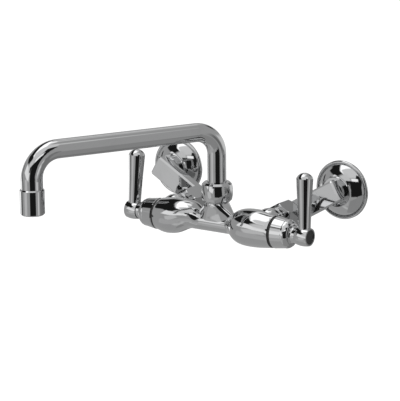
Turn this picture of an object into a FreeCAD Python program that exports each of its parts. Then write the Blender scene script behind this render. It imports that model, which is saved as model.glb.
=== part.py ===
import FreeCAD, Part
import math
import os

from FreeCAD import Vector

os.makedirs("parts", exist_ok=True)

# Wall-mounted two-handle sink faucet, in millimetres.
# Origin: on the wall plane, midway between the two wall inlets. X runs to the user's right,
# Y points into the wall and Z points up. Each piece is drawn about its own axis and then moved
# to its place.

# Place of the body and the supply arms
wall_to_body = 76.2          # wall plane to the valve axis
body_inlet_spacing = 115.4   # between the axes of the two unions on the back of the body
inlet_rise = 6.6             # union axis above the valve axis
arm_length = 50.8            # union axis to wall inlet axis
arm_angle = 30.25            # rise of the supply arm from level

# Valve body casting
tube_radius = 9.6            # mixing tube between the two valve chambers
tube_bore = 6.4
body_end = body_inlet_spacing / 2 + 12.3   # outer end face of the chamber, from the spout axis
body_end_radius = 16.4
tube_end = 36.0              # the tube's ends lie inside the chambers
# Cross-sections of each chamber: distance from the spout axis, then the radius at the front below,
# straight below, the back below, the back above and the front above. A chamber starts inside the
# tube and reaches highest where the raised inlet boss leaves it. The left one swells later on its
# underside than the right one.
end_radii = (body_end_radius,) * 5
right_chamber = (
    (10.0, 8.8, 8.8, 8.8, 8.8, 8.8),
    (16.0, 9.4, 9.2, 8.9, 9.8, 9.9),
    (21.0, 11.8, 10.6, 9.4, 12.6, 13.0),
    (26.0, 15.4, 14.0, 12.0, 15.8, 16.4),
    (31.0, 17.6, 16.8, 15.4, 18.0, 18.4),
    (37.0, 18.6, 18.2, 17.4, 19.2, 19.7),
    (45.0, 18.8, 18.6, 18.2, 19.6, 20.3),
    (53.0, 18.4, 18.3, 18.1, 19.4, 20.0),
    (60.0, 17.7, 17.6, 17.6, 18.4, 18.8),
    (66.0, 16.9, 16.9, 17.0, 17.4, 17.6),
    (body_end,) + end_radii)
left_chamber = (
    (10.0, 8.8, 8.8, 8.8, 8.8, 8.8),
    (16.0, 8.9, 8.8, 8.8, 9.8, 9.9),
    (21.0, 9.2, 8.9, 8.8, 12.6, 13.0),
    (26.0, 9.5, 9.1, 8.9, 15.8, 16.4),
    (31.0, 10.4, 9.8, 9.5, 18.0, 18.4),
    (37.0, 13.2, 12.2, 11.9, 19.2, 19.7),
    (45.0, 16.6, 15.8, 14.8, 19.6, 20.3),
    (53.0, 18.1, 17.7, 17.0, 19.4, 20.0),
    (60.0, 18.2, 18.2, 17.8, 18.4, 18.8),
    (66.0, 17.2, 17.4, 17.2, 17.4, 17.6),
    (body_end,) + end_radii)
chamber_bore = 13.0
chamber_bore_start = 48.0
seat_bore = 10.0             # narrower bore around the cartridge's nose
seat_x = 38.0                # valve seat, from the spout axis
inlet_boss_radius = 12.4
inlet_boss_reach = 28.0      # valve axis to the face of the inlet boss
inlet_root_radius = 14.4     # where the boss leaves the chamber
inlet_root_start = 8.0       # behind the valve axis, where the root begins to narrow
inlet_root_end = 20.0
inlet_root_swell = 0.6       # how far the root's side stands off a straight cone
inlet_bore = 6.5
spout_boss_radius = 11.9
spout_boss_top = 33.0        # above the valve axis
# Root of the spout boss: height, half-width along the body, half-width front to back
spout_root_sections = (
    (3.0, 25.0, 9.3),
    (9.0, 21.8, 10.0),
    (14.0, 18.0, 11.0),
    (18.0, 14.4, 12.1),
    (23.0, 11.2, 11.2))
spout_boss_start = 18.5      # the boss starts inside its root
spout_socket_bore = 9.6
spout_socket_floor = 11.0

# Cartridge, the same on both sides
seal_bore = 5.0
seal_radius = 7.85
fixed_disc_start = 42.6
disc_thickness = 2.4
disc_radius = 7.6
disc_port_inner = 2.2
disc_port_outer = 5.6
disc_port_angle = 77.0
drive_slot_width = 4.6
drive_slot_depth = 1.2
drive_bar_length = 12.6
drive_bar_height = 3.0
nose_radius = 9.5
nose_bore = 7.9
nose_bore_end = 56.0
window_start = 50.0
window_end = 55.0
window_width = 8.0
collar_start = body_end - 4.4    # threaded collar that screws into the chamber
flange_radius = 14.4
flange_thickness = 1.7
cap_thread_radius = 11.5
cap_thread_end = body_end + 12.0
gland_radius = 8.0
gland_end = body_end + 18.0
spindle_radius = 5.0
thrust_collar_radius = 6.6
thrust_collar_thickness = 1.6
oring_section = 1.4
spindle_groove_x = body_end + 10.0
circlip_thickness = 0.9
circlip_radius = 6.4
circlip_groove_depth = 0.7
circlip_mouth = 5.0

# Bonnet and its washer
washer_thickness = 2.6
washer_radius = 15.6
bonnet_radius = 16.2
bonnet_edge = 0.6            # chamfer at its open end
bonnet_shoulder_x = body_end + 14.5
bonnet_shoulder_radius = 14.6
bonnet_shoulder_swell = 1.0  # how far the shoulder stands off a straight cone
bonnet_face_x = body_end + 21.0
bonnet_face_hollow = 0.9     # how far the face is hollowed towards the neck
bonnet_neck_radius = 8.2
bonnet_neck_end = body_end + 27.0
bonnet_neck_start = body_end + 24.0
bonnet_crown_radius = 11.4   # where the rounded shoulder turns into the hollow towards the neck
bonnet_web = 1.6             # wall at the bonnet's narrow end
bonnet_relief = 1.0          # length of the room past each step of the cartridge body

# Handle
hub_gap = 0.6                # between bonnet neck and handle hub
hub_length = 13.8
hub_end_radius = 8.9
hub_middle_radius = 9.8
spindle_square = 7.0
square_depth = 9.4
screw_radius = 2.1
screw_length = 9.0
screw_gap = 1.0              # between the screw's tip and the bottom of its hole
screw_head_radius = 4.2
screw_head_height = 2.0
screw_drive = 1.2            # width and depth of the screw's slot
button_radius = 7.3
button_thickness = 2.6
button_setback = 0.7
button_web = 1.2             # button's thickness over the screw head
lever_height = 63.75         # top of the lever above the valve axis
lever_base_radius = 6.4
lever_root = 3.0             # how deep the lever's base is cut to the hub's barrel shape
lever_waist_radius = 7.1
lever_waist_height = 31.0
lever_head_radius = 8.5
lever_head_height = 58.0
lever_lean = 1.8             # degrees, both levers lean in towards the spout
handle_turn = 3.5            # degrees back from upright, where the closed handle stops
lever_stud_radius = 2.9
lever_stud_end = 5.4

# Union between body and supply arm
nut_flats = 27.8
nut_chamfer = 1.6
nut_start = 24.5             # valve axis to the nut's front face
arm_front = 45.8             # valve axis to the arm's front face
union_washer_thickness = 1.5
tail_flange_radius = 11.6
tail_flange_thickness = 2.5
tail_radius = 8.8
nut_lip = 4.0

# Supply arm and wall flange
arm_width = 22.5
arm_depth = 12.0
arm_overrun = 11.8           # arm's square end beyond the wall inlet axis
arm_edge = 1.7
arm_bore = 5.5
neck_radius = 12.6
neck_setback = 1.5           # neck's end short of the wall plane
inlet_thread_radius = 9.35
inlet_thread_depth = 13.0
flange_outer_radius = 30.2
flange_bead_height = 2.6     # rolled edge that lies on the wall
flange_bead_width = 3.2
flange_step = 1.5            # wall plane to the groove between bead and dome
flange_height = 13.0
flange_swell = 1.2           # how far the dome stands off a straight cone
flange_collar_radius = 15.6  # short collar round the supply arm's neck
flange_collar_height = 2.0
flange_collar_edge = 0.5
flange_wall = 1.4

# Spout
spout_tube_radius = 9.525
spout_wall = 1.2
spout_arm_height = 95.6      # above the valve axis
spout_reach = 203.2
leg_bend = 23.8
outlet_bend = 28.0
outlet_bend_radius = 10.0    # half way round the outlet bend, where the tube begins to widen
outlet_radius = 10.75
outlet_end_height = 40.0     # end of the tube inside the aerator shell
spout_swing = 27.0           # degrees towards the left handle, from straight out
foot_end = 12.5
foot_shoulder_radius = 11.2
foot_shoulder_height = 2.6
foot_spigot = 8.0
foot_bore = 6.9
foot_oring_section = 2.0
foot_grooves = (17.0, 24.5)
slip_washer_thickness = 0.6

# Spout nut, a round one with slightly swelling sides
spout_nut_radius = 16.2
spout_nut_end_radius = 15.1
spout_nut_edge = 2.0
spout_nut_bottom = 22.5
spout_nut_top = 42.6

# Aerator
shell_radius = 12.1
shell_top = 59.0
shell_bottom = 33.4
shell_lip = 1.6
shell_edge = 1.2
aerator_mouth = 9.6
aerator_washer_bore = 8.1
aerator_radius = 10.6
screen_thickness = 0.5
aerator_washer_thickness = 1.6
core_fins = 12
core_wall = 1.3
core_hub_radius = 2.0
core_fin = 0.7

# Clearances
thread_gap = 0.05
running_gap = 0.05
seat_gap = 0.05
loose_gap = 0.3


def save(name, shape):
    shape.exportStep("parts/" + name + ".step")


def cylinder(radius, start, end, axis):
    """Cylinder about the origin, from start to end along axis."""
    direction = {"x": Vector(1, 0, 0), "y": Vector(0, 1, 0), "z": Vector(0, 0, 1)}[axis]
    return Part.makeCylinder(radius, end - start, direction * start, direction)


def ring(outer, inner, start, end, axis):
    return cylinder(outer, start, end, axis).cut(cylinder(inner, start - 1, end + 1, axis))


def outline_point(axis, along, radius):
    """A point of an outline, given as its place along the axis and its radius."""
    if axis == "x":
        return Vector(along, 0, radius)
    if axis == "y":
        return Vector(radius, along, 0)
    return Vector(radius, 0, along)


def turned(axis, start, *steps):
    """Solid of revolution. Each step is a point, or a middle and an end point for an arc."""
    here = outline_point(axis, *start)
    first = here
    edges = []
    for step in steps:
        if isinstance(step[0], tuple):
            middle = outline_point(axis, *step[0])
            there = outline_point(axis, *step[1])
            edges.append(Part.Arc(here, middle, there).toShape())
        else:
            there = outline_point(axis, *step)
            edges.append(Part.makeLine(here, there))
        here = there
    edges.append(Part.makeLine(here, first))
    direction = {"x": Vector(1, 0, 0), "y": Vector(0, 1, 0), "z": Vector(0, 0, 1)}[axis]
    return Part.Face(Part.Wire(edges)).revolve(Vector(0, 0, 0), direction, 360)


def s_bend(x0, r0, x1, r1):
    """Two equal arcs that leave (x0, r0) and reach (x1, r1) parallel to the axis."""
    run = x1 - x0
    rise = r1 - r0
    radius = (run ** 2 + rise ** 2) / (4 * abs(rise))
    half_turn = math.atan2(abs(rise), abs(run))
    along = math.copysign(radius * math.sin(half_turn), run)
    across = math.copysign(radius * (1 - math.cos(half_turn)), rise)
    middle = ((x0 + x1) / 2, (r0 + r1) / 2)
    return [((x0 + along, r0 + across), middle), ((x1 - along, r1 - across), (x1, r1))]


def round_corner(x0, r0, x1, r1, bulge):
    """Arc step from (x0, r0) to (x1, r1) that stands bulge off the straight line between them."""
    span = math.hypot(x1 - x0, r1 - r0)
    middle = ((x0 + x1) / 2 - (r1 - r0) / span * bulge, (r0 + r1) / 2 + (x1 - x0) / span * bulge)
    return middle, (x1, r1)


def dome(x0, r0, top):
    """Arc step from (x0, r0) to a crown on the axis at top."""
    radius = ((top - x0) ** 2 + r0 ** 2) / (2 * (top - x0))
    half = math.asin(r0 / radius) / 2
    return (top - radius * (1 - math.cos(half)), radius * math.sin(half)), (top, 0)


def chamfered_hexagon(flats, start, end):
    """Hexagon nut blank about Y, two corners level, with its corners turned off at both ends."""
    corner = flats / math.sqrt(3)
    points = []
    for i in range(7):
        turn = math.radians(60 * i)
        points.append(Vector(corner * math.cos(turn), start, corner * math.sin(turn)))
    prism = Part.Face(Part.makePolygon(points)).extrude(Vector(0, end - start, 0))
    lathe = turned("y", (start, 0), (start, corner - nut_chamfer), (start + nut_chamfer, corner),
                   (end - nut_chamfer, corner), (end, corner - nut_chamfer), (end, 0))
    return prism.common(lathe)


def torus_ring(mean_radius, section_radius, along, axis):
    direction = {"x": Vector(1, 0, 0), "y": Vector(0, 1, 0), "z": Vector(0, 0, 1)}[axis]
    return Part.makeTorus(mean_radius, section_radius, direction * along, direction)


def moved(shape, x, y, z):
    copy = shape.copy()
    copy.translate(Vector(x, y, z))
    return copy


# Places worked out from the sizes above
arm_rise = arm_length * math.sin(math.radians(arm_angle))
union_x = body_inlet_spacing / 2
body_z = -(arm_rise + inlet_rise)
hub_start = bonnet_neck_end + hub_gap
hub_end = hub_start + hub_length
hub_middle = (hub_start + hub_end) / 2


def at_body(shape):
    """Move a shape drawn about the crossing of the spout and valve axes to its place."""
    return moved(shape, 0, -wall_to_body, body_z)


def on_side(shape, side):
    """The right-hand shape, or its mirror image for the left."""
    if side == "left":
        return shape.mirror(Vector(0, 0, 0), Vector(1, 0, 0))
    return shape


# Valve body: one hollow casting
def closed_curve(points):
    curve = Part.BSplineCurve()
    curve.interpolate(points, PeriodicFlag=True)
    return Part.Wire([curve.toShape()])


def chamber_section(along, front_below, below, back_below, back_above, front_above):
    """Smooth closed curve across the chamber through a radius in each of eight directions."""
    back = (back_below + back_above) / 2
    above = (back_above + front_above) / 2
    front = (front_below + front_above) / 2
    points = []
    radii = (front, front_above, above, back_above, back, back_below, below, front_below)
    for i, radius in enumerate(radii):
        turn = math.radians(180 - 45 * i)
        points.append(Vector(along, radius * math.cos(turn), radius * math.sin(turn)))
    return closed_curve(points)


def root_section(height, half_width, half_depth):
    """Oval across the root of the spout boss, or a circle where both halves are equal."""
    points = []
    for i in range(8):
        turn = math.radians(45 * i)
        points.append(Vector(half_width * math.cos(turn), half_depth * math.sin(turn), height))
    return closed_curve(points)


def valve_body():
    tube = cylinder(tube_radius, -tube_end, tube_end, "x")
    right = Part.makeLoft([chamber_section(*section) for section in right_chamber], True)
    left = Part.makeLoft([chamber_section(*section) for section in left_chamber], True)
    boss = turned("y", (0, 0), (0, inlet_boss_radius),
                  round_corner(0, inlet_boss_radius, inlet_root_start, inlet_root_radius,
                               inlet_root_swell),
                  *s_bend(inlet_root_start, inlet_root_radius, inlet_root_end, inlet_boss_radius),
                  (inlet_boss_reach, inlet_boss_radius), (inlet_boss_reach, 0))
    boss = moved(boss, union_x, 0, inlet_rise)
    reach = 2 * inlet_boss_reach
    past_end_face = Part.makeBox(reach, reach, reach, Vector(body_end, -reach / 2, -reach / 2))
    boss = boss.cut(past_end_face)
    root = Part.makeLoft([root_section(*section) for section in spout_root_sections], True)
    spout_boss = cylinder(spout_boss_radius, spout_boss_start, spout_boss_top, "z")
    outside = tube.fuse([right, boss, on_side(left.fuse(boss), "left"), root, spout_boss])
    outside = outside.removeSplitter()
    half_hollow = cylinder(tube_bore, -1, seat_x + 1, "x")
    half_hollow = half_hollow.fuse(cylinder(seat_bore, seat_x, chamber_bore_start + 1, "x"))
    half_hollow = half_hollow.fuse(cylinder(chamber_bore, chamber_bore_start, body_end + 1, "x"))
    half_hollow = half_hollow.fuse(moved(cylinder(inlet_bore, 0, inlet_boss_reach + 1, "y"),
                                         union_x, 0, inlet_rise))
    hollow = half_hollow.fuse(on_side(half_hollow, "left"))
    hollow = hollow.fuse(cylinder(tube_bore, 0, spout_socket_floor, "z"))
    hollow = hollow.fuse(cylinder(spout_socket_bore, spout_socket_floor, spout_boss_top + 1, "z"))
    return outside.cut(hollow)


# Cartridge, drawn for the right side about the valve axis
def seat_seal():
    return ring(seal_radius, seal_bore, seat_x + seat_gap, fixed_disc_start - seat_gap, "x")


def disc_ports(start, end, turn):
    """Two opposite openings of a quarter turn each, less their webs."""
    sector = ring(disc_port_outer, disc_port_inner, start, end, "x")
    reach = 3 * disc_port_outer
    half = reach * math.tan(math.radians(disc_port_angle / 2))
    corners = [Vector(start, 0, 0), Vector(start, reach, half), Vector(start, reach, -half)]
    wedge = Part.Face(Part.makePolygon(corners + corners[:1])).extrude(Vector(end - start, 0, 0))
    opposite = wedge.copy()
    opposite.rotate(Vector(0, 0, 0), Vector(1, 0, 0), 180)
    ports = sector.common(wedge.fuse(opposite))
    ports.rotate(Vector(0, 0, 0), Vector(1, 0, 0), turn)
    return ports


def fixed_disc():
    end = fixed_disc_start + disc_thickness
    disc = cylinder(seal_radius, fixed_disc_start, end, "x")
    return disc.cut(disc_ports(fixed_disc_start - 1, end + 1, 0))


def moving_disc():
    start = fixed_disc_start + disc_thickness + seat_gap / 2
    end = start + disc_thickness
    disc = cylinder(disc_radius, start, end, "x").cut(disc_ports(start - 1, end + 1, 90))
    slot = Part.makeBox(drive_slot_depth + 1, drive_slot_width, 2 * disc_radius + 2,
                        Vector(end - drive_slot_depth, -drive_slot_width / 2, -disc_radius - 1))
    return disc.cut(slot)


def cartridge_body():
    outside = turned("x", (seat_x + loose_gap, 0), (seat_x + loose_gap, nose_radius),
                     (collar_start, nose_radius), (collar_start, chamber_bore - thread_gap),
                     (body_end + seat_gap, chamber_bore - thread_gap),
                     (body_end + seat_gap, flange_radius),
                     (body_end + flange_thickness, flange_radius),
                     (body_end + flange_thickness, cap_thread_radius),
                     (cap_thread_end, cap_thread_radius), (cap_thread_end, gland_radius),
                     (gland_end, gland_radius), (gland_end, 0))
    hollow = cylinder(nose_bore, seat_x, nose_bore_end, "x")
    hollow = hollow.fuse(cylinder(spindle_radius + running_gap, nose_bore_end - 1, gland_end + 1, "x"))
    windows = Part.makeBox(window_end - window_start, 2 * nose_radius + 2, window_width,
                           Vector(window_start, -nose_radius - 1, -window_width / 2))
    return outside.cut(hollow).cut(windows)


def spindle():
    bar_start = fixed_disc_start + 2 * disc_thickness + seat_gap - drive_slot_depth + seat_gap
    collar_end = nose_bore_end - running_gap
    bar_width = drive_slot_width - 2 * running_gap
    shaft = cylinder(spindle_radius, bar_start + drive_bar_height, hub_start, "x")
    shaft = shaft.fuse(cylinder(thrust_collar_radius, collar_end - thrust_collar_thickness,
                                collar_end, "x"))
    shaft = shaft.fuse(Part.makeBox(drive_bar_height, bar_width, drive_bar_length,
                                    Vector(bar_start, -bar_width / 2, -drive_bar_length / 2)))
    square = Part.makeBox(square_depth, spindle_square, spindle_square,
                          Vector(hub_start, -spindle_square / 2, -spindle_square / 2))
    shaft = shaft.fuse(square.common(cylinder(spindle_radius, hub_start, hub_start + square_depth, "x")))
    groove_depth = oring_section + seat_gap
    groove = ring(spindle_radius + 1, spindle_radius - groove_depth,
                  spindle_groove_x - groove_depth / 2, spindle_groove_x + groove_depth / 2, "x")
    clip_groove = ring(spindle_radius + 1, spindle_radius - circlip_groove_depth, gland_end + seat_gap,
                       gland_end + 3 * seat_gap + circlip_thickness, "x")
    tapped = cylinder(screw_radius + thread_gap, hub_start + square_depth - screw_length,
                      hub_start + square_depth + 1, "x")
    return shaft.cut(groove).cut(clip_groove).cut(tapped)


def spindle_oring():
    section = oring_section / 2
    return torus_ring(spindle_radius - section, section, spindle_groove_x, "x")


def circlip():
    start = gland_end + 2 * seat_gap
    clip = ring(circlip_radius, spindle_radius - circlip_groove_depth + seat_gap, start,
                start + circlip_thickness, "x")
    mouth = Part.makeBox(circlip_thickness + 2, circlip_radius + 1, circlip_mouth,
                         Vector(start - 1, 0, -circlip_mouth / 2))
    return clip.cut(mouth)


# Bonnet and the dark washer in the joint
def turned_back(shape):
    """A piece that turns with the handle, brought to the closed stop."""
    shape = shape.copy()
    shape.rotate(Vector(0, 0, 0), Vector(1, 0, 0), -handle_turn)
    return shape


def bonnet_start():
    return body_end + washer_thickness + 2 * seat_gap


def bonnet():
    start = bonnet_start()
    outside = turned("x", (start, 0), (start, bonnet_radius - bonnet_edge),
                     (start + bonnet_edge, bonnet_radius),
                     (bonnet_shoulder_x, bonnet_shoulder_radius),
                     round_corner(bonnet_shoulder_x, bonnet_shoulder_radius,
                                  bonnet_face_x, bonnet_crown_radius, bonnet_shoulder_swell),
                     round_corner(bonnet_face_x, bonnet_crown_radius,
                                  bonnet_neck_start, bonnet_neck_radius, -bonnet_face_hollow),
                     (bonnet_neck_end, bonnet_neck_radius), (bonnet_neck_end, 0))
    mouth_end = start + bonnet_relief
    thread_end = cap_thread_end + bonnet_relief
    room_end = gland_end + 2 * bonnet_relief
    hollow = turned("x", (start - 1, 0), (start - 1, flange_radius + loose_gap),
                    (mouth_end, flange_radius + loose_gap), (mouth_end, cap_thread_radius + thread_gap),
                    (thread_end, cap_thread_radius + thread_gap),
                    (thread_end, gland_radius + loose_gap),
                    (room_end, gland_radius + loose_gap),
                    (room_end, bonnet_neck_radius - bonnet_web),
                    (bonnet_neck_end + 1, bonnet_neck_radius - bonnet_web), (bonnet_neck_end + 1, 0))
    return outside.cut(hollow)


def bonnet_washer():
    start = body_end + seat_gap
    return ring(washer_radius, flange_radius + thread_gap, start, start + washer_thickness, "x")


# Handle: hub, lever, screw and button
def hub_outline(extra):
    """Barrel shape of the hub, made larger by extra all round."""
    rise = hub_middle_radius - hub_end_radius
    return turned("x", (hub_start - extra, 0), (hub_start - extra, hub_end_radius + extra),
                  ((hub_middle, hub_end_radius + rise + extra), (hub_end + extra, hub_end_radius + extra)),
                  (hub_end + extra, 0))


def handle_hub():
    hub = hub_outline(0)
    square = spindle_square + 2 * running_gap
    bore = Part.makeBox(square_depth + seat_gap, square, square,
                        Vector(hub_start, -square / 2, -square / 2))
    bore = bore.common(cylinder(spindle_radius + running_gap, hub_start - 1, hub_end, "x"))
    floor = hub_start + square_depth + seat_gap
    pocket = cylinder(screw_head_radius + loose_gap, floor, hub_end + 1, "x")
    recess = cylinder(button_radius + thread_gap, hub_end - button_setback - button_thickness,
                      hub_end + 1, "x")
    stud = cylinder(lever_stud_radius + thread_gap, lever_stud_end - seat_gap, hub_end_radius + 5, "z")
    return hub.cut(bore).cut(pocket).cut(recess).cut(leaned(stud))


def leaned(shape):
    """Lean a shape drawn upright about the lever's axis and set it on the hub."""
    shape = shape.copy()
    shape.rotate(Vector(0, 0, 0), Vector(0, 1, 0), -lever_lean)
    return moved(shape, hub_middle, 0, 0)


def lever():
    rod = turned("z", (hub_end_radius - lever_root, 0), (hub_end_radius - lever_root, lever_base_radius),
                 (hub_end_radius, lever_base_radius), (lever_waist_height, lever_waist_radius),
                 (lever_head_height, lever_head_radius),
                 dome(lever_head_height, lever_head_radius, lever_height))
    rod = leaned(rod).cut(hub_outline(seat_gap))
    stud = cylinder(lever_stud_radius, lever_stud_end, hub_middle_radius + 2, "z")
    return rod.fuse(leaned(stud))


def handle_screw():
    floor = hub_start + square_depth
    start = floor - screw_length + screw_gap
    screw = cylinder(screw_radius, start, floor + 2 * seat_gap, "x")
    head = cylinder(screw_head_radius, floor + 2 * seat_gap, floor + 2 * seat_gap + screw_head_height, "x")
    head_end = floor + 2 * seat_gap + screw_head_height
    drive = Part.makeBox(screw_drive + 1, screw_drive, 2 * screw_head_radius,
                         Vector(head_end - screw_drive, -screw_drive / 2, -screw_head_radius))
    return screw.fuse(head).cut(drive)


def index_button():
    end = hub_end - button_setback
    start = end - button_thickness + seat_gap
    button = cylinder(button_radius, start, end, "x")
    return button.cut(cylinder(screw_head_radius + loose_gap, start - 1, end - button_web, "x"))


# Union between body and arm, drawn about the union axis with Y measured from the valve axis
def union_nut():
    blank = chamfered_hexagon(nut_flats, nut_start, arm_front - loose_gap)
    lip_start = arm_front - loose_gap - nut_lip
    bore = cylinder(inlet_boss_radius + thread_gap, nut_start - 1, lip_start, "y")
    hole = cylinder(tail_radius + running_gap, lip_start - 1, arm_front + 1, "y")
    return blank.cut(bore).cut(hole)


def union_washer():
    start = inlet_boss_reach + seat_gap
    return ring(tail_flange_radius, inlet_bore, start, start + union_washer_thickness, "y")


def supply_arm():
    back = arm_front + arm_depth
    half = arm_width / 2
    end = arm_length + arm_overrun
    outline = Part.Wire([
        Part.makeLine(Vector(0, arm_front, -half), Vector(end, arm_front, -half)),
        Part.makeLine(Vector(end, arm_front, -half), Vector(end, arm_front, half)),
        Part.makeLine(Vector(end, arm_front, half), Vector(0, arm_front, half)),
        Part.Arc(Vector(0, arm_front, half), Vector(-half, arm_front, 0),
                 Vector(0, arm_front, -half)).toShape()])
    bar = Part.Face(outline).extrude(Vector(0, arm_depth, 0))
    bar = bar.makeChamfer(arm_edge, bar.Edges)
    flange_start = inlet_boss_reach + union_washer_thickness + 3 * seat_gap
    tail = cylinder(tail_radius, flange_start, arm_front + 2, "y")
    tail = tail.fuse(cylinder(tail_flange_radius, flange_start,
                              flange_start + tail_flange_thickness, "y"))
    neck_end = wall_to_body - neck_setback
    neck = moved(cylinder(neck_radius, back - 2, neck_end, "y"), arm_length, 0, 0)
    arm = bar.fuse(tail).fuse(neck)
    middle = arm_front + arm_depth / 2
    way = cylinder(inlet_bore, flange_start - 1, middle, "y")
    way = way.fuse(moved(cylinder(arm_bore, 0, arm_length, "x"), 0, middle, 0))
    way = way.fuse(moved(cylinder(inlet_thread_radius, neck_end - inlet_thread_depth, neck_end + 1, "y"),
                         arm_length, 0, 0))
    way = way.fuse(moved(cylinder(arm_bore, middle, neck_end - inlet_thread_depth + 1, "y"),
                         arm_length, 0, 0))
    return arm.cut(way)


def wall_flange():
    crown = wall_to_body - flange_height
    dome_end = crown + flange_collar_height
    bead_front = wall_to_body - flange_bead_height
    groove = wall_to_body - flange_step
    bead_middle = flange_outer_radius - flange_bead_width / 2
    dome_radius = flange_outer_radius - flange_bead_width
    bead_side = wall_to_body - flange_bead_height / 3
    shell = turned("y", (wall_to_body, 0), (wall_to_body, flange_outer_radius),
                   (bead_side, flange_outer_radius),
                   ((bead_front, bead_middle), (groove, dome_radius)),
                   round_corner(groove, dome_radius, dome_end, flange_collar_radius, -flange_swell),
                   (crown + flange_collar_edge, flange_collar_radius),
                   (crown, flange_collar_radius - flange_collar_edge), (crown, 0))
    hollow = turned("y", (wall_to_body + 1, 0), (wall_to_body + 1, dome_radius - flange_wall),
                    (groove + flange_wall, dome_radius - flange_wall),
                    round_corner(groove + flange_wall, dome_radius - flange_wall,
                                 dome_end + flange_wall, flange_collar_radius, -flange_swell),
                    (dome_end + flange_wall, 0))
    flange = shell.cut(hollow)
    hole = cylinder(neck_radius + thread_gap, crown - 1, wall_to_body + 1, "y")
    return moved(flange.cut(hole), arm_length, 0, 0)


def at_union(shape, side):
    """Turn a piece of the right-hand union to the arm's rise and put it behind the body."""
    shape = shape.copy()
    shape.rotate(Vector(0, 0, 0), Vector(0, 1, 0), -arm_angle)
    shape = moved(shape, union_x, 0, inlet_rise)
    return at_body(on_side(shape, side))


# Spout, drawn straight out along -Y about the spout axis and then swung
def outlet_elbow(radius, middle_radius, end_radius):
    """Bend that turns down to the outlet and widens on the way."""
    centre = Vector(0, -(spout_reach - outlet_bend), spout_arm_height - outlet_bend)
    circles = []
    for degrees, across in ((0, radius), (45, middle_radius), (90, end_radius)):
        turn = math.radians(degrees)
        out = Vector(0, -math.sin(turn), math.cos(turn))
        onward = Vector(0, -math.cos(turn), -math.sin(turn))
        circles.append(Part.Wire([Part.makeCircle(across, centre + out * outlet_bend, onward)]))
    spine = Part.Wire([Part.makeCircle(outlet_bend, centre, Vector(1, 0, 0), 90, 135),
                       Part.makeCircle(outlet_bend, centre, Vector(1, 0, 0), 135, 180)])
    return spine.makePipeShell(circles, True, True)


def spout_path(inset, bottom, end):
    """Solid of the spout's whole course, inset from its outside, from bottom to end."""
    radius = spout_tube_radius - inset
    outlet = outlet_radius - inset
    arm_start = leg_bend
    arm_end = spout_reach - outlet_bend
    leg_top = spout_arm_height - leg_bend
    leg = cylinder(radius, bottom, leg_top, "z")
    profile = Part.Face(Part.Wire([Part.makeCircle(radius, Vector(0, 0, leg_top), Vector(0, 0, 1))]))
    bend = profile.revolve(Vector(0, -leg_bend, leg_top), Vector(1, 0, 0), 90)
    arm = Part.makeCylinder(radius, arm_end - arm_start, Vector(0, -arm_start, spout_arm_height),
                            Vector(0, -1, 0))
    elbow = outlet_elbow(radius, outlet_bend_radius - inset, outlet)
    drop_top = spout_arm_height - outlet_bend
    drop = moved(cylinder(outlet, end, drop_top, "z"), 0, -spout_reach, 0)
    return leg.fuse(bend).fuse(arm).fuse(elbow).fuse(drop)


def spout_tube():
    bottom = spout_boss_top + foot_shoulder_height + 3 * seat_gap
    outside = spout_path(0, bottom, outlet_end_height)
    return outside.cut(spout_path(spout_wall, bottom - 1, outlet_end_height - 1))


def spout_foot():
    shoulder = spout_boss_top + seat_gap
    top = shoulder + foot_shoulder_height
    journal = spout_socket_bore - running_gap
    spigot_radius = spout_tube_radius - spout_wall - thread_gap
    foot = turned("z", (foot_end, 0), (foot_end, journal), (shoulder, journal),
                  (shoulder, foot_shoulder_radius), (top, foot_shoulder_radius),
                  (top, spigot_radius), (top + foot_spigot, spigot_radius), (top + foot_spigot, 0))
    foot = foot.cut(cylinder(foot_bore, foot_end - 1, top + foot_spigot + 1, "z"))
    depth = foot_oring_section + seat_gap
    for height in foot_grooves:
        foot = foot.cut(ring(journal + 1, journal - depth, height - depth / 2, height + depth / 2, "z"))
    return foot


def spout_orings():
    section = foot_oring_section / 2
    mean = spout_socket_bore - running_gap - section
    return Part.makeCompound([torus_ring(mean, section, height, "z") for height in foot_grooves])


def spout_slip_washer():
    start = spout_boss_top + foot_shoulder_height + 2 * seat_gap
    return ring(foot_shoulder_radius, spout_tube_radius + running_gap, start,
                start + slip_washer_thickness, "z")


def spout_nut():
    middle = (spout_nut_bottom + spout_nut_top) / 2
    blank = turned("z", (spout_nut_bottom, 0), (spout_nut_bottom, spout_nut_end_radius - spout_nut_edge),
                   (spout_nut_bottom + spout_nut_edge, spout_nut_end_radius),
                   ((middle, spout_nut_radius), (spout_nut_top - spout_nut_edge, spout_nut_end_radius)),
                   (spout_nut_top, spout_nut_end_radius - spout_nut_edge), (spout_nut_top, 0))
    ledge = spout_boss_top + foot_shoulder_height + slip_washer_thickness + 3 * seat_gap
    bore = cylinder(spout_boss_radius + thread_gap, spout_nut_bottom - 1, ledge, "z")
    hole = cylinder(spout_tube_radius + loose_gap, ledge - 1, spout_nut_top + 1, "z")
    return blank.cut(bore).cut(hole)


def aerator_shell():
    outside = turned("z", (shell_bottom, 0), (shell_bottom, shell_radius - shell_edge),
                     (shell_bottom + shell_edge, shell_radius), (shell_top - shell_edge, shell_radius),
                     (shell_top, shell_radius - shell_edge), (shell_top, 0))
    bore = cylinder(outlet_radius + thread_gap, shell_bottom + shell_lip, shell_top + 1, "z")
    mouth = cylinder(aerator_mouth, shell_bottom - 1, shell_bottom + shell_lip + 1, "z")
    return outside.cut(bore).cut(mouth)


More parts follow.
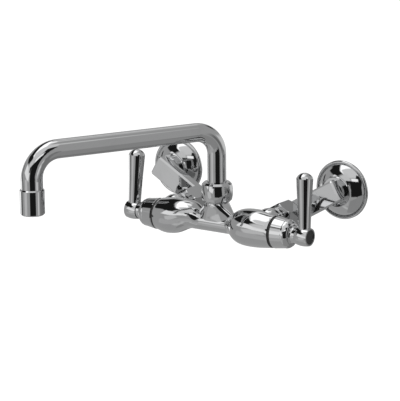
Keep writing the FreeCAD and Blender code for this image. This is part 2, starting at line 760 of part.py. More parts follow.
def aerator_core():
    """Moulded core: an outer wall, a hub and thin fins between them."""
    start = shell_bottom + shell_lip + seat_gap
    end = outlet_end_height - aerator_washer_thickness - 2 * seat_gap - 2 * screen_thickness
    wall = ring(aerator_radius, aerator_radius - core_wall, start, end, "z")
    core = wall.fuse(cylinder(core_hub_radius, start, end, "z"))
    for i in range(core_fins):
        fin = Part.makeBox(aerator_radius - core_wall / 2 - 1, core_fin, end - start,
                           Vector(1, -core_fin / 2, start))
        fin.rotate(Vector(0, 0, 0), Vector(0, 0, 1), 360 * i / core_fins)
        core = core.fuse(fin)
    return core.removeSplitter()


def aerator_screens():
    end = outlet_end_height - aerator_washer_thickness - 2 * seat_gap
    lower = cylinder(aerator_radius, end - 2 * screen_thickness + seat_gap / 2,
                     end - screen_thickness - seat_gap / 2, "z")
    upper = cylinder(aerator_radius, end - screen_thickness, end - seat_gap / 2, "z")
    return Part.makeCompound([lower, upper])


def aerator_washer():
    end = outlet_end_height - seat_gap
    return ring(aerator_radius, aerator_washer_bore, end - aerator_washer_thickness, end, "z")


def at_spout(shape):
    shape = shape.copy()
    shape.rotate(Vector(0, 0, 0), Vector(0, 0, 1), -spout_swing)
    return at_body(shape)


def at_outlet(shape):
    return at_spout(moved(shape, 0, -spout_reach, 0))


save("valve_body", at_body(valve_body()))

for side in ("left", "right"):
    for name, make in (("seat_seal", seat_seal), ("fixed_disc", fixed_disc),
                       ("cartridge_body", cartridge_body), ("bonnet", bonnet),
                       ("bonnet_washer", bonnet_washer)):
        save(side + "_" + name, at_body(on_side(make(), side)))
    for name, make in (("moving_disc", moving_disc), ("spindle", spindle),
                       ("spindle_oring", spindle_oring), ("circlip", circlip),
                       ("handle_hub", handle_hub), ("lever", lever),
                       ("handle_screw", handle_screw), ("index_button", index_button)):
        save(side + "_" + name, at_body(on_side(turned_back(make()), side)))
    for name, make in (("union_nut", union_nut), ("union_washer", union_washer),
                       ("supply_arm", supply_arm), ("wall_flange", wall_flange)):
        save(side + "_" + name, at_union(make(), side))

for name, make in (("spout_tube", spout_tube), ("spout_foot", spout_foot),
                   ("spout_orings", spout_orings), ("spout_slip_washer", spout_slip_washer)):
    save(name, at_spout(make()))
save("spout_nut", at_body(spout_nut()))
for name, make in (("aerator_shell", aerator_shell), ("aerator_core", aerator_core),
                   ("aerator_screens", aerator_screens), ("aerator_washer", aerator_washer)):
    save(name, at_outlet(make()))
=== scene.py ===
import math
import bpy
import numpy as np
from mathutils import Matrix, Vector


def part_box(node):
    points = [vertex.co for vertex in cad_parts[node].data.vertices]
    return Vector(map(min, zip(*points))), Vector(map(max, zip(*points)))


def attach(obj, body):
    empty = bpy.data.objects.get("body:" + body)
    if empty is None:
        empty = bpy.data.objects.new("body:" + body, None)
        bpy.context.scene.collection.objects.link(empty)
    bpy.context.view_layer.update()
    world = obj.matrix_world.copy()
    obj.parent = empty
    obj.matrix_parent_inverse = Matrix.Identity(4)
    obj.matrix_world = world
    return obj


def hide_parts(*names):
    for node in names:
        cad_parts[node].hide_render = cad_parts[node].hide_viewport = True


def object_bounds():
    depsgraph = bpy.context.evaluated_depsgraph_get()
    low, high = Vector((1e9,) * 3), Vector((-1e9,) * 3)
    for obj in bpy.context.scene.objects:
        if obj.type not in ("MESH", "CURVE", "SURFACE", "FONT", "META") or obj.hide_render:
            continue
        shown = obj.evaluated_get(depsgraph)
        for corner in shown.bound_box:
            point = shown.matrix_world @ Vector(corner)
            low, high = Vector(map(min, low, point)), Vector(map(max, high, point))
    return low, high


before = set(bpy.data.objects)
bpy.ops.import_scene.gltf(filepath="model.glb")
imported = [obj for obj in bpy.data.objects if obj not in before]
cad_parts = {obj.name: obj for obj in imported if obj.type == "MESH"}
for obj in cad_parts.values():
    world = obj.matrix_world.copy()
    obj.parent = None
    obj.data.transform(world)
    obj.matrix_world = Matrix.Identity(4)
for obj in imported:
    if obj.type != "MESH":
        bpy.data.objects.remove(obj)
cad_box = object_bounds()


# Wall flanges
# Spun brass cups with a rolled bead, plated bright, that cover the holes in the wall. Each slides
# over the neck of its supply arm. The spinning lathe left faint rings about the middle.

class Socket:
    """One output of a shader tree. Adding, subtracting, multiplying and dividing it adds Math nodes."""

    def __init__(self, tree, output):
        self.tree = tree
        self.output = output

    def maths(self, operation, *values):
        return self.tree.node("ShaderNodeMath", {"operation": operation}, dict(enumerate(values)))

    def __add__(self, other):
        return self.maths("ADD", self, other)

    def __radd__(self, other):
        return self.maths("ADD", other, self)

    def __sub__(self, other):
        return self.maths("SUBTRACT", self, other)

    def __rsub__(self, other):
        return self.maths("SUBTRACT", other, self)

    def __mul__(self, other):
        return self.maths("MULTIPLY", self, other)

    def __rmul__(self, other):
        return self.maths("MULTIPLY", other, self)

    def __truediv__(self, other):
        return self.maths("DIVIDE", self, other)

    def root(self):
        return self.maths("SQRT", self)

    def between(self, low, high):
        """0 up to low, 1 from high, and a straight ramp between them."""
        return self.tree.node("ShaderNodeMapRange", {},
                              {"Value": self, "From Min": low, "From Max": high})


class Tree:
    """A shader tree that starts empty and ends in one output node."""

    def __init__(self, owner, output_kind):
        owner.use_nodes = True
        self.nodes = owner.node_tree.nodes
        self.links = owner.node_tree.links
        self.nodes.clear()
        self.end = self.nodes.new(output_kind)

    def node(self, kind, settings, inputs, output=0):
        """A new node: its settings are set first, then each socket gets a value or a link. Gives
        one of its outputs."""
        made = self.nodes.new(kind)
        for name, value in settings.items():
            setattr(made, name, value)
        for name, value in inputs.items():
            if isinstance(value, Socket):
                self.links.new(value.output, made.inputs[name])
            else:
                made.inputs[name].default_value = value
        return Socket(self, made.outputs[output])

    def close(self, surface):
        self.links.new(surface.output, self.end.inputs["Surface"])

    def place(self, centre=(0, 0, 0), turn=(0, 0, 0), scale=(1, 1, 1)):
        """Where a point of the piece is, from a centre, turned and stretched for a pattern."""
        where = self.node("ShaderNodeTexCoord", {}, {}, "Object")
        return self.node("ShaderNodeMapping", {"vector_type": "TEXTURE"},
                         {"Vector": where, "Location": centre, "Rotation": turn, "Scale": scale})

    def parts(self, vector):
        """The three parts of a vector, each as its own socket."""
        return [self.node("ShaderNodeSeparateXYZ", {}, {0: vector}, axis) for axis in "XYZ"]

    def noise(self, place, size, detail=2.0, roughness=0.5, distortion=0.0):
        """Cloudy noise from 0 to 1 whose blobs are about size metres across."""
        return self.node("ShaderNodeTexNoise", {},
                         {"Vector": place, "Scale": 1 / size, "Detail": detail,
                          "Roughness": roughness, "Distortion": distortion})

    def stripes(self, along, size, detail=3.0):
        """Uneven stripes from 0 to 1 across a value in metres."""
        return self.node("ShaderNodeTexNoise", {"noise_dimensions": "1D"},
                         {"W": along, "Scale": 1 / size, "Detail": detail})

    def mix(self, share, low, high):
        """A colour that goes from low to high as share goes from 0 to 1."""
        return self.node("ShaderNodeMix", {"data_type": "RGBA"}, {0: share, 6: low, 7: high}, 2)

    def bump(self, height, depth):
        """A normal tilted by a height from 0 to 1 that stands for depth metres."""
        return self.node("ShaderNodeBump", {}, {"Height": height, "Distance": depth, "Strength": 1.0})


def finish(name, build, **same_all_over):
    """A material: build gets its tree and gives what changes over the surface."""
    material = bpy.data.materials.new(name)
    tree = Tree(material, "ShaderNodeOutputMaterial")
    tree.close(tree.node("ShaderNodeBsdfPrincipled", {}, {**same_all_over, **build(tree)}))
    return material


def dress(node, material):
    """Gives a piece of the frame its finish."""
    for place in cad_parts[node].material_slots:
        place.material = material


CHROME = (0.549, 0.553, 0.557, 1.0)
CHROME_SMEARED = (0.519, 0.522, 0.525, 1.0)
CHROME_ROUGHNESS = 0.045
SMEAR_ROUGHNESS = 0.030
SMEAR_SIZE = 0.030


def wiping_smears(tree):
    """0 over most of the plate and up to 1 in the broad patches that wiping has dulled."""
    return tree.noise(tree.place(), SMEAR_SIZE, detail=4.0, roughness=0.6,
                      distortion=0.5).between(0.5, 0.75)


def plated(tree, height, depth):
    """Bright plate: the metal's relief shows through it, and faint smears from wiping dull it."""
    smears = wiping_smears(tree)
    return {"Base Color": tree.mix(smears, CHROME, CHROME_SMEARED),
            "Roughness": CHROME_ROUGHNESS + SMEAR_ROUGHNESS * smears,
            "Normal": tree.bump(height, depth)}


AXES = {"x": (0, 1, 2), "y": (1, 2, 0), "z": (2, 0, 1)}      # an axis, then the two across it


def about(tree, middle, axis):
    """A point's distance from the axis through middle, and how far along the axis it lies."""
    sides = tree.parts(tree.place(tuple(middle)))
    along, across, up = (sides[i] for i in AXES[axis])
    return (across * across + up * up).root(), along


def turned_plate(middle, axis, ring_size=0.0007, ring_depth=0.0000006):
    """Plate over a turned piece: fine uneven rings about its axis, left under the polish."""
    def build(tree):
        radius, along = about(tree, middle, axis)
        return plated(tree, tree.stripes(radius + along, ring_size), ring_depth)
    return build


def middle_of(node):
    """The centre of a piece's box."""
    low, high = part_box(node)
    return (low + high) / 2


SIDES = ("left", "right")
for side in SIDES:
    flange = f"{side}_wall_flange"
    dress(flange, finish(f"{side} spun flange", turned_plate(middle_of(flange), "y"), Metallic=1.0))


# Supply arms
# Forged brass bars, one end round and one square, buffed and plated all over. The neck at the wall
# end is tapped for the supply pipe, and inside it the plate ends and the bare brass thread shows.

BUFF_SIZE = 0.010             # across one wave of the buffing
BUFF_DEPTH = 0.000009
GRAIN_SIZE = 0.0012
GRAIN_SHARE = 0.03            # of the buffing's depth


def buffed(tree):
    """Height left by hand buffing: broad shallow waves and a trace of fine grain."""
    waves = tree.noise(tree.place(), BUFF_SIZE, detail=1.0, roughness=0.4)
    grain = tree.noise(tree.place(), GRAIN_SIZE)
    return waves + grain * GRAIN_SHARE


def cast_plate(tree):
    """Plate over a casting or forging that was buffed by hand."""
    return plated(tree, buffed(tree), BUFF_DEPTH)


BRASS = (0.72, 0.53, 0.26, 1.0)
BRASS_DULL = (0.52, 0.35, 0.15, 1.0)
BRASS_ROUGHER = 0.25          # than the plate
HOLE_REACH = 0.00955          # the tapped hole's wall lies inside this distance from its axis
HOLE_DEPTH = 0.0152           # and no farther than this from the wall
PLATE_EDGE = 0.0001           # over which the plate fades into the bare brass


def turned_brass(middle, axis):
    """Bare turned brass: rings about its axis and darker tarnish in patches."""
    def build(tree):
        radius, along = about(tree, middle, axis)
        rings = tree.stripes(radius + along, size=0.0003, detail=4.0)
        tarnish = tree.noise(tree.place(), size=0.005, detail=4.0, roughness=0.6)
        return {"Base Color": tree.mix(tarnish.between(0.4, 0.8), BRASS, BRASS_DULL),
                "Roughness": 0.24 + rings * 0.12, "Normal": tree.bump(rings, depth=0.000004)}
    return build


def tapped_arm(middle, wall):
    """Plate over the forging, and bare brass inside the neck."""
    def build(tree):
        radius, along = about(tree, middle, "y")
        hole_end = wall - HOLE_DEPTH - middle.y
        in_reach = 1 - radius.between(HOLE_REACH, HOLE_REACH + PLATE_EDGE)
        inside = in_reach * along.between(hole_end, hole_end + PLATE_EDGE)
        smears = wiping_smears(tree)
        tarnish = tree.noise(tree.place(), size=0.004, detail=3.0)
        plate = tree.mix(smears, CHROME, CHROME_SMEARED)
        return {"Base Color": tree.mix(inside, plate, tree.mix(tarnish, BRASS, BRASS_DULL)),
                "Roughness": CHROME_ROUGHNESS + SMEAR_ROUGHNESS * smears + inside * BRASS_ROUGHER,
                "Normal": tree.bump(buffed(tree), BUFF_DEPTH)}
    return build


THREAD_PITCH = 0.001814
THREAD_ROOT = 0.00938         # just inside the hole's wall
THREAD_CREST = 0.00890
THREAD_START = 0.0140         # from the wall plane to the thread's inner and outer ends
THREAD_END = 0.0024
RIDGE_PROFILE = (             # place along the thread in pitches, and distance from the axis
    (-0.42, THREAD_ROOT), (-0.05, THREAD_CREST), (0.05, THREAD_CREST), (0.42, THREAD_ROOT))
STEPS_PER_TURN = 48


def thread_ridge(axis_x, start, end):
    """The ridge of a right-hand screw thread about a line along Y. At the turn t each corner of its
    profile lies at (r sin t, start + pitch (t / 2 pi + w), r cos t), with the corner's own w and r.
    The crest sinks back to the root over the first and last half turn. The ends are capped."""
    turns = (end - start) / THREAD_PITCH
    t = np.linspace(0, 2 * np.pi * turns, int(turns * STEPS_PER_TURN))[:, None]
    lead_in = np.clip(np.minimum(t, t[-1] - t) / np.pi, 0, 1)
    w, full = np.array(RIDGE_PROFILE).T[:, None]
    r = THREAD_ROOT + (full - THREAD_ROOT) * lead_in
    advance = start + THREAD_PITCH * (t / (2 * np.pi) + w)
    points = np.stack([axis_x + r * np.sin(t), advance, r * np.cos(t)], -1)
    return points.reshape(-1, 3), tube_faces(len(t), len(RIDGE_PROFILE))


def grid_faces(rows, columns, rows_close=False, columns_close=False):
    """The four-sided faces of a grid whose points are its rows in turn. Rows or columns that close
    join their last line of points to their first."""
    i, j = np.meshgrid(np.arange(rows if rows_close else rows - 1),
                       np.arange(columns if columns_close else columns - 1), indexing="ij")
    on, after = (i + 1) % rows, (j + 1) % columns
    quads = np.stack([i * columns + j, on * columns + j, on * columns + after, i * columns + after], -1)
    return [tuple(face) for face in quads.reshape(-1, 4).tolist()]


def tube_faces(rings, sides):
    """The faces of a tube whose points are its rings in turn, with both ends capped."""
    last = (rings - 1) * sides
    caps = [tuple(range(sides)), tuple(range(last + sides - 1, last - 1, -1))]
    return grid_faces(rings, sides, columns_close=True) + caps


def piece_from(name, parts, smooth=True):
    """One mesh object at the origin from several (points, faces)."""
    points, faces, start = [], [], 0
    for some_points, some_faces in parts:
        points.append(some_points)
        faces.extend(tuple(i + start for i in face) for face in some_faces)
        start += len(some_points)
    mesh = bpy.data.meshes.new(name)
    mesh.from_pydata(np.concatenate(points).tolist(), [], faces)
    mesh.polygons.foreach_set("use_smooth", np.full(len(mesh.polygons), smooth))
    mesh.update()
    made = bpy.data.objects.new(name, mesh)
    bpy.context.scene.collection.objects.link(made)
    return made


for side in SIDES:
    inlet, wall = middle_of(f"{side}_wall_flange"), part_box(f"{side}_wall_flange")[1].y
    dress(f"{side}_supply_arm", finish(f"{side} forged arm", tapped_arm(inlet, wall), Metallic=1.0))
    ridge = thread_ridge(inlet.x, wall - THREAD_START, wall - THREAD_END)
    thread = piece_from(f"{side}_inlet_thread", [ridge], smooth=False)
    thread.data.materials.append(finish(f"{side} cut thread", turned_brass(inlet, "y"), Metallic=1.0))
    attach(thread, f"{side}_arm")


# Union nuts and washers
# Plated brass hexagon nuts that pull each supply arm's tail against the body, over a rubber washer.
# The flats are milled and the corners turned off, and both still show it faintly.

def milled_nut(middle):
    """Plate over a nut: rings where its corners were turned off, and a light grain from the mill."""
    def build(tree):
        radius, along = about(tree, middle, "y")
        rings = tree.stripes(radius, size=0.0006)
        grain = tree.noise(tree.place(scale=(1, 8, 1)), size=0.0009)
        return plated(tree, rings * 0.5 + grain * 0.5, depth=0.0000007)
    return build


RUBBER = (0.020, 0.020, 0.021, 1.0)
RUBBER_BLOOM = (0.050, 0.050, 0.052, 1.0)


def moulded_rubber(tree):
    """Black rubber with a grey bloom and the fine grain of its mould."""
    bloom = tree.noise(tree.place(), size=0.003, detail=4.0, roughness=0.6)
    grain = tree.noise(tree.place(), size=0.0003)
    return {"Base Color": tree.mix(bloom.between(0.45, 0.8), RUBBER, RUBBER_BLOOM),
            "Roughness": 0.55 + bloom * 0.2, "Normal": tree.bump(grain, depth=0.00002)}


rubber = finish("moulded rubber", moulded_rubber)
for side in SIDES:
    nut = f"{side}_union_nut"
    dress(nut, finish(f"{side} milled nut", milled_nut(middle_of(nut)), Metallic=1.0))
    dress(f"{side}_union_washer", rubber)


# Valve body
# One hollow sand casting in brass: the two valve chambers, the mixing tube between them, the union
# bosses behind and the spout boss on top. It is buffed by hand all over and plated.

dress("valve_body", finish("cast body", cast_plate, Metallic=1.0))


# Cartridges
# Each is a turned brass cage that screws into its chamber, with a brass spindle in a rubber ring, a
# spring steel clip, two lapped ceramic discs whose openings line up a quarter turn apart, and a seal.

CERAMIC = (0.86, 0.85, 0.82, 1.0)
CERAMIC_CLOUD = (0.80, 0.79, 0.77, 1.0)
CERAMIC_SPECK = (0.45, 0.45, 0.44, 1.0)


def lapped_ceramic(tree):
    """White ceramic, its faces lapped to a satin gloss, with a few grey specks."""
    specks = tree.noise(tree.place(), size=0.0004, detail=1.0).between(0.68, 0.74)
    clouds = tree.noise(tree.place(), size=0.004)
    return {"Base Color": tree.mix(specks, tree.mix(clouds, CERAMIC, CERAMIC_CLOUD), CERAMIC_SPECK),
            "Roughness": 0.18 + clouds * 0.1}


SPRING_STEEL = (0.45, 0.45, 0.45, 1.0)
BLUED_STEEL = (0.33, 0.35, 0.40, 1.0)


def spring_steel(tree):
    """Stamped spring steel: dark, with a rolled grain and a trace of blueing."""
    grain = tree.noise(tree.place(scale=(1, 12, 1)), size=0.0006, detail=3.0)
    blueing = tree.noise(tree.place(), size=0.003)
    return {"Base Color": tree.mix(blueing, SPRING_STEEL, BLUED_STEEL),
            "Roughness": 0.30 + grain * 0.15, "Normal": tree.bump(grain, depth=0.000003)}


spindle_middle = middle_of("left_spindle")
valve_line = (0, spindle_middle.y, spindle_middle.z)      # both valves lie on it, along X
cartridge_brass = finish("turned brass", turned_brass(valve_line, "x"), Metallic=1.0)
ceramic = finish("lapped ceramic", lapped_ceramic)
clip_steel = finish("spring steel", spring_steel, Metallic=1.0)
for side in SIDES:
    dress(f"{side}_seat_seal", rubber)
    dress(f"{side}_fixed_disc", ceramic)
    dress(f"{side}_moving_disc", ceramic)
    dress(f"{side}_cartridge_body", cartridge_brass)
    dress(f"{side}_spindle", cartridge_brass)
    dress(f"{side}_spindle_oring", rubber)
    dress(f"{side}_circlip", clip_steel)


# Bonnets and joint washers
# Turned and plated brass caps that screw over the cartridges and close the body's ends. A washer
# cut from fibre-filled rubber sheet sits in each joint and shows as a dark ring.

SHEET = (0.022, 0.021, 0.020, 1.0)
SHEET_FIBRE = (0.085, 0.080, 0.074, 1.0)


def fibre_washer(tree):
    """Dark hard rubber sheet with short paler fibres in it."""
    fibres = tree.noise(tree.place(scale=(1, 1, 7)), size=0.0004, distortion=1.0).between(0.6, 0.75)
    return {"Base Color": tree.mix(fibres, SHEET, SHEET_FIBRE),
            "Roughness": 0.5 + fibres * 0.2, "Normal": tree.bump(fibres, depth=0.00002)}


joint_sheet = finish("fibre washer", fibre_washer)
turned_cap = finish("turned bonnet", turned_plate(valve_line, "x"), Metallic=1.0)
for side in SIDES:
    dress(f"{side}_bonnet", turned_cap)
    dress(f"{side}_bonnet_washer", joint_sheet)


# Handles
# Each hub fits the square of its spindle and is held by one screw under a black plastic button. The
# lever is turned and buffed, with a stud pressed into the hub. Both are plated.

BUTTON_BLACK = (0.010, 0.010, 0.011, 1.0)
BUTTON_SINK = (0.018, 0.018, 0.019, 1.0)


def moulded_button(tree):
    """Glossy black plastic with the slight unevenness of a thin moulding."""
    sink = tree.noise(tree.place(), size=0.006, detail=1.0)
    grain = tree.noise(tree.place(), size=0.0005)
    return {"Base Color": tree.mix(sink, BUTTON_BLACK, BUTTON_SINK),
            "Roughness": 0.16 + grain * 0.08, "Normal": tree.bump(sink, depth=0.00004)}


STAINLESS = (0.62, 0.61, 0.59, 1.0)
STAINLESS_RING = (0.50, 0.49, 0.47, 1.0)


def turned_steel(middle, axis):
    """Bare stainless steel with turning rings."""
    def build(tree):
        radius, along = about(tree, middle, axis)
        rings = tree.stripes(radius + along, size=0.00025, detail=4.0)
        return {"Base Color": tree.mix(rings, STAINLESS, STAINLESS_RING),
                "Roughness": 0.22 + rings * 0.1, "Normal": tree.bump(rings, depth=0.000003)}
    return build


turned_hub = finish("turned hub", turned_plate(valve_line, "x"), Metallic=1.0)
buffed_lever = finish("buffed lever", cast_plate, Metallic=1.0)
black_plastic = finish("black button", moulded_button)
screw_steel = finish("screw steel", turned_steel(valve_line, "x"), Metallic=1.0)
for side in SIDES:
    dress(f"{side}_handle_hub", turned_hub)
    dress(f"{side}_lever", buffed_lever)
    dress(f"{side}_index_button", black_plastic)
    dress(f"{side}_handle_screw", screw_steel)


# Spout foot and nut
# The foot is a turned brass journal brazed into the spout, which swings in the body's socket on two
# rubber rings. A slip washer lies on its shoulder, and a round plated nut holds it down.

SLIP_WHITE = (0.85, 0.85, 0.83, 1.0)
SLIP_WAX = (0.76, 0.76, 0.73, 1.0)


def cut_slip_plastic(tree):
    """White slippery plastic, a little waxy and uneven."""
    wax = tree.noise(tree.place(), size=0.002, detail=3.0)
    return {"Base Color": tree.mix(wax, SLIP_WHITE, SLIP_WAX),
            "Roughness": 0.35 + wax * 0.15, "Normal": tree.bump(wax, depth=0.00001)}


swing_axis = middle_of("spout_nut")
dress("spout_foot", finish("turned foot", turned_brass(swing_axis, "z"), Metallic=1.0))
dress("spout_orings", rubber)
dress("spout_slip_washer", finish("slip plastic", cut_slip_plastic))
dress("spout_nut", finish("turned spout nut", turned_plate(swing_axis, "z"), Metallic=1.0))


# Spout
# Drawn brass tube, bent twice and polished before plating. Bending leaves long soft waves in the
# mirror, and it ends in a wider drop for the aerator.

def bent_tube(tree):
    """Plate over the drawn tube: long shallow waves and a trace of grain."""
    waves = tree.noise(tree.place(), size=0.022, detail=1.0, roughness=0.3)
    grain = tree.noise(tree.place(), GRAIN_SIZE)
    return plated(tree, waves + grain * 0.02, depth=0.000012)


dress("spout_tube", finish("drawn tube", bent_tube, Metallic=1.0))


# Aerator
# A turned plated shell screwed to the outlet. Inside sit a washer, two woven wire screens laid at
# 45 degrees to each other, and a moulded plastic core whose fins break up the stream.

WIRE_PITCH = 0.0010
WIRE_RADIUS = 0.000105
WIRE_SIDES = 6
STEPS_PER_PITCH = 4
RIM_RADIUS = 0.00022
RIM_STEPS = 96
RIM_SIDES = 8
SCREEN_LAYS = (12.0, 57.0)    # degrees that the lower and upper screen's wires are turned


def tube_along(path, radius, sides):
    """A tube along a path of shape (n, 3): at each point a ring of points stands radius off the
    path, in the plane of the path's level normal and the upright. The ends are capped."""
    ahead = np.gradient(path, axis=0)
    ahead /= np.linalg.norm(ahead, axis=1)[:, None]
    level = np.cross(ahead, (0.0, 0.0, 1.0))
    level /= np.linalg.norm(level, axis=1)[:, None]
    upright = np.cross(level, ahead)
    turn = np.arange(sides) * 2 * np.pi / sides
    rings = path[:, None] + radius * (np.cos(turn)[None, :, None] * level[:, None]
                                      + np.sin(turn)[None, :, None] * upright[:, None])
    return rings.reshape(-1, 3), tube_faces(len(path), sides)


def woven_disc(radius, height, lay):
    """Wires both ways across a disc. Each runs straight and rises and falls as a cosine of its
    place along it, so that it goes over one crossing wire and under the next, and its neighbour
    does the opposite. The whole disc is turned by lay degrees and stands at height."""
    count = int(radius / WIRE_PITCH)
    pieces = []
    for way in (0, 1):
        for k in range(-count, count + 1):
            offset = k * WIRE_PITCH
            half = math.sqrt(radius ** 2 - offset ** 2) - RIM_RADIUS
            if half < WIRE_PITCH:
                continue
            along = np.linspace(-half, half, int(2 * half / WIRE_PITCH * STEPS_PER_PITCH) + 2)
            rise = WIRE_RADIUS * np.cos(np.pi * (along / WIRE_PITCH + k + way))
            across = np.full_like(along, offset)
            path = np.stack([along, across, rise] if way == 0 else [across, along, rise], 1)
            pieces.append(tube_along(path, WIRE_RADIUS, WIRE_SIDES))
    turn = math.radians(lay)
    spin = np.array(((math.cos(turn), math.sin(turn), 0),
                     (-math.sin(turn), math.cos(turn), 0),
                     (0, 0, 1)))
    return [(points @ spin + (0, 0, height), faces) for points, faces in pieces]


def rim_wire(radius, height):
    """A round wire that closes the edge of a screen: a circle of a small circle, both in even steps."""
    turn, roll = np.meshgrid(np.arange(RIM_STEPS) * 2 * np.pi / RIM_STEPS,
                             np.arange(RIM_SIDES) * 2 * np.pi / RIM_SIDES, indexing="ij")
    out = radius - RIM_RADIUS + RIM_RADIUS * np.cos(roll)
    rise = height + RIM_RADIUS * np.sin(roll)
    points = np.stack([out * np.cos(turn), out * np.sin(turn), rise], -1)
    faces = grid_faces(RIM_STEPS, RIM_SIDES, rows_close=True, columns_close=True)
    return points.reshape(-1, 3), faces


WIRE = (0.60, 0.60, 0.58, 1.0)
WIRE_STAIN = (0.46, 0.43, 0.37, 1.0)


def drawn_wire(tree):
    """Bright drawn stainless wire, a little yellower where water has dried on it."""
    stain = tree.noise(tree.place(), size=0.0015, detail=3.0).between(0.5, 0.8)
    return {"Base Color": tree.mix(stain, WIRE, WIRE_STAIN), "Roughness": 0.20 + stain * 0.2}


screen_low, screen_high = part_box("aerator_screens")
screen_middle = (screen_low + screen_high) / 2
screen_radius = (screen_high.x - screen_low.x) / 2
quarter = (screen_high.z - screen_low.z) / 4
mesh_parts = []
for height, lay in zip((screen_low.z + quarter, screen_high.z - quarter), SCREEN_LAYS):
    for points, faces in woven_disc(screen_radius, height, lay) + [rim_wire(screen_radius, height)]:
        mesh_parts.append((points + (screen_middle.x, screen_middle.y, 0), faces))
screens = piece_from("woven_screens", mesh_parts)
screens.data.materials.append(finish("screen wire", drawn_wire, Metallic=1.0))
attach(screens, "spout")
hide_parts("aerator_screens")


CORE_GREY = (0.55, 0.57, 0.60, 1.0)
CORE_FLOW = (0.47, 0.49, 0.52, 1.0)


def moulded_core(tree):
    """Grey moulded plastic with a satin mould grain and faint flow marks."""
    flow = tree.noise(tree.place(scale=(1, 1, 3)), size=0.004, distortion=0.8)
    grain = tree.noise(tree.place(), size=0.00025)
    return {"Base Color": tree.mix(flow, CORE_GREY, CORE_FLOW),
            "Roughness": 0.36 + grain * 0.12, "Normal": tree.bump(grain, depth=0.00001)}


outlet_axis = middle_of("aerator_shell")
dress("aerator_shell", finish("turned shell", turned_plate(outlet_axis, "z"), Metallic=1.0))
dress("aerator_core", finish("moulded core", moulded_core))
dress("aerator_washer", rubber)


# Floor
# A plain pale sheet well below the object, white to the eye. Only the camera sees it, so that the
# studio light reaches the object from below as well.

FLOOR_DROP = 0.30             # from the object's lowest point
FLOOR_REACH = 12.0
FLOOR_STEPS = 2
FLOOR_COLOUR = (0.9, 0.9, 0.9, 1)
FLOOR_WHITE = 1.3             # glow, of which the sheet shows all but the shaded part
FLOOR_SHADED = 0.3            # the part with real shading, which keeps the object's shadow


def level_sheet(height, reach, steps):
    """A level square grid: both parameters run evenly from -reach to reach at one height."""
    even = np.linspace(-reach, reach, steps)
    u, v = np.meshgrid(even, even, indexing="ij")
    points = np.stack([u, v, np.full_like(u, height)], -1)
    return points.reshape(-1, 3), grid_faces(steps, steps)


def pale_floor():
    """White to the camera, with a part of real shading for the object's shadow. Other rays, and
    any from below, pass through it, so the studio is the same all round the object."""
    material = bpy.data.materials.new("pale floor")
    tree = Tree(material, "ShaderNodeOutputMaterial")
    seen = tree.node("ShaderNodeLightPath", {}, {}, "Is Camera Ray")
    below = tree.node("ShaderNodeNewGeometry", {}, {}, "Backfacing")
    white = tree.node("ShaderNodeEmission", {}, {"Color": (1, 1, 1, 1), "Strength": FLOOR_WHITE})
    shaded = tree.node("ShaderNodeBsdfDiffuse", {}, {"Color": FLOOR_COLOUR})
    sheet = tree.node("ShaderNodeMixShader", {}, {0: FLOOR_SHADED, 1: white, 2: shaded})
    clear = tree.node("ShaderNodeBsdfTransparent", {}, {})
    tree.close(tree.node("ShaderNodeMixShader", {}, {0: seen * (1 - below), 1: clear, 2: sheet}))
    return material


floor = piece_from("floor", [level_sheet(cad_box[0][2] - FLOOR_DROP, FLOOR_REACH, FLOOR_STEPS)])
floor.data.materials.append(pale_floor())


# Camera
# A long lens, to the right of the faucet and a little above it. Its place, look and roll were
# solved from the photograph's outlines.

CAMERA_PLACE = Vector((1.31596, -1.97422, 0.54098))
CAMERA_LOOK = Vector((-0.56003, 0.79537, -0.23186))
CAMERA_ROLL = math.radians(-0.525)
LENS = 210.9                  # mm, behind a sensor 36 mm wide
SENSOR_WIDTH = 36.0
HALF_PIXEL = 0.5 / 401        # of the picture's longer side, 401 pixels
FAR_END = 50.0

camera_data = bpy.data.cameras.new("camera")
camera = bpy.data.objects.new("camera", camera_data)
bpy.context.scene.collection.objects.link(camera)
camera_data.lens = LENS
camera_data.sensor_width = SENSOR_WIDTH
camera_data.shift_x = -HALF_PIXEL
camera_data.shift_y = HALF_PIXEL
camera_data.clip_end = FAR_END
look = CAMERA_LOOK.to_track_quat("-Z", "Y").to_matrix().to_4x4()
roll = Matrix.Rotation(CAMERA_ROLL, 4, "Z")
camera.matrix_world = Matrix.Translation(CAMERA_PLACE) @ look @ roll
bpy.context.scene.camera = camera


# Studio light
# A grey tent with bright and black cards, all far away, fitted together until the bands that the
# chrome mirrors lay near the photographed ones; the names only say where each card is. Each lies
# over those before it. Level 1 is white, and azimuth runs from +Y towards +X.

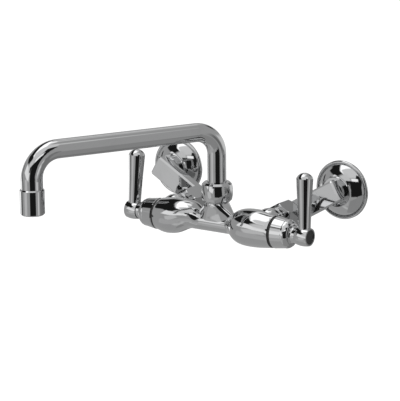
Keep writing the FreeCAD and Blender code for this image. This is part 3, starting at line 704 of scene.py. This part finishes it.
BASE_LEVEL = 0.49
CARDS = (    # level, then in degrees azimuth, elevation, half width, half height, roll, softness
    (0.71, -164, -55, 39, 4, 71, 4),        # strip of light on the table in front
    (0.28, 28, -32, 54, 38, -17, 8),        # the table's dark end, below and behind
    (0.38, 108, -57, 34, 33, -39, 3),       # its dark right side
    (0.78, -156, -16, 13, 12, -9, 4),       # low fill in front and on the left
    (2.00, -81, -13, 6, 6, -44, 3),         # small lamp on the left
    (0.015, -2, 27, 12, 7, 26, 8),          # dark card on the wall behind
    (1.12, -115, 81, 50, 16, 2, 16),        # the panel overhead
    (2.00, -121, 70, 40, 19, -5, 3),        # its bright middle
    (0.95, 142, 62, 35, 21, 1, 7),          # its front part, less bright
    (2.00, -52, 64, 4, 22, -56, 7),         # strip lamp above and behind
    (0.015, -144, 36, 44, 12, 16, 3),       # the dark bar under the panel
    (0.015, -85, 46, 33, 13, -9, 6),        # and its left end
    (0.015, 149, 12, 15, 13, 7, 6),         # black card in front
    (1.24, -159, 11, 29, 12, 18, 3),        # window light from the front
    (0.89, -177, 31, 17, 16, -43, 10),      # the window's upper pane
    (0.015, 136, -7, 27, 17, -4, 3),        # black cards in front and on the right
    (0.015, 126, 13, 16, 38, 26, 4),        # one standing and leaning
    (0.015, 156, 20, 23, 7, -8, 3),         # one lying above
    (1.05, 77, -13, 9, 4, 4, 3),            # small strip at the right
    (0.88, 22, 1, 32, 12, 10, 7),           # the lit wall behind
    (0.03, -31, 54, 7, 4, -23, 6),          # a gap in the panel
    (1.51, 138, 33, 15, 5, -1, 3),          # strip lamp over the black cards
    (0.22, 73, -3, 10, 9, -51, 7),          # grey card at the right
    (0.13, 167, 13, 4, 4, -24, 3),          # the window's bar
    (0.015, -100, -2, 4, 20, -44, 3),       # stand of the small lamp
    (0.59, -152, -38, 26, 10, 22, 3))       # the table's lit front edge


HORIZON = 0.02                # keeps the division below away from nought


def card(sky, direction, value, level, azimuth, elevation, half_width, half_height, roll, soft):
    """The studio's light with one more card over it: level inside the card's edges and as before
    outside. A direction is inside where its slopes across and along the card are under the
    tangents of the card's half sizes, and each edge fades over the softness."""
    a, e, r = (math.radians(v) for v in (azimuth, elevation, roll))
    out = Vector((math.sin(a) * math.cos(e), math.cos(a) * math.cos(e), math.sin(e)))
    side = Vector((math.cos(a), -math.sin(a), 0))
    up = side.cross(out)
    across = side * math.cos(r) + up * math.sin(r)
    along = up * math.cos(r) - side * math.sin(r)

    def dot(axis):
        return sky.node("ShaderNodeVectorMath", {"operation": "DOT_PRODUCT"},
                        {0: direction, 1: tuple(axis)}, "Value")

    depth = dot(out)
    ahead = depth.maths("MAXIMUM", depth, HORIZON)
    inside = depth.maths("GREATER_THAN", depth, 0.0)
    fade = math.tan(math.radians(soft)) / 2
    for axis, half in ((across, half_width), (along, half_height)):
        edge = math.tan(math.radians(half))
        off = dot(axis) / ahead
        inside = inside * (1 - off.maths("ABSOLUTE", off).between(edge - fade, edge + fade))
    return value * (1 - inside) + inside * level


world = bpy.data.worlds.new("studio")
bpy.context.scene.world = world
sky = Tree(world, "ShaderNodeOutputWorld")
direction = sky.node("ShaderNodeTexCoord", {}, {}, "Generated")
light = BASE_LEVEL
for row in CARDS:
    light = card(sky, direction, light, *row)
seen = sky.node("ShaderNodeLightPath", {}, {}, "Is Camera Ray")
through = sky.node("ShaderNodeLightPath", {}, {}, "Is Transmission Ray")
plain = seen.maths("MAXIMUM", seen, through)
strength = plain + light * (1 - plain)
sky.close(sky.node("ShaderNodeBackground", {}, {"Color": (1, 1, 1, 1), "Strength": strength}))

bpy.context.scene.view_settings.view_transform = "Standard"
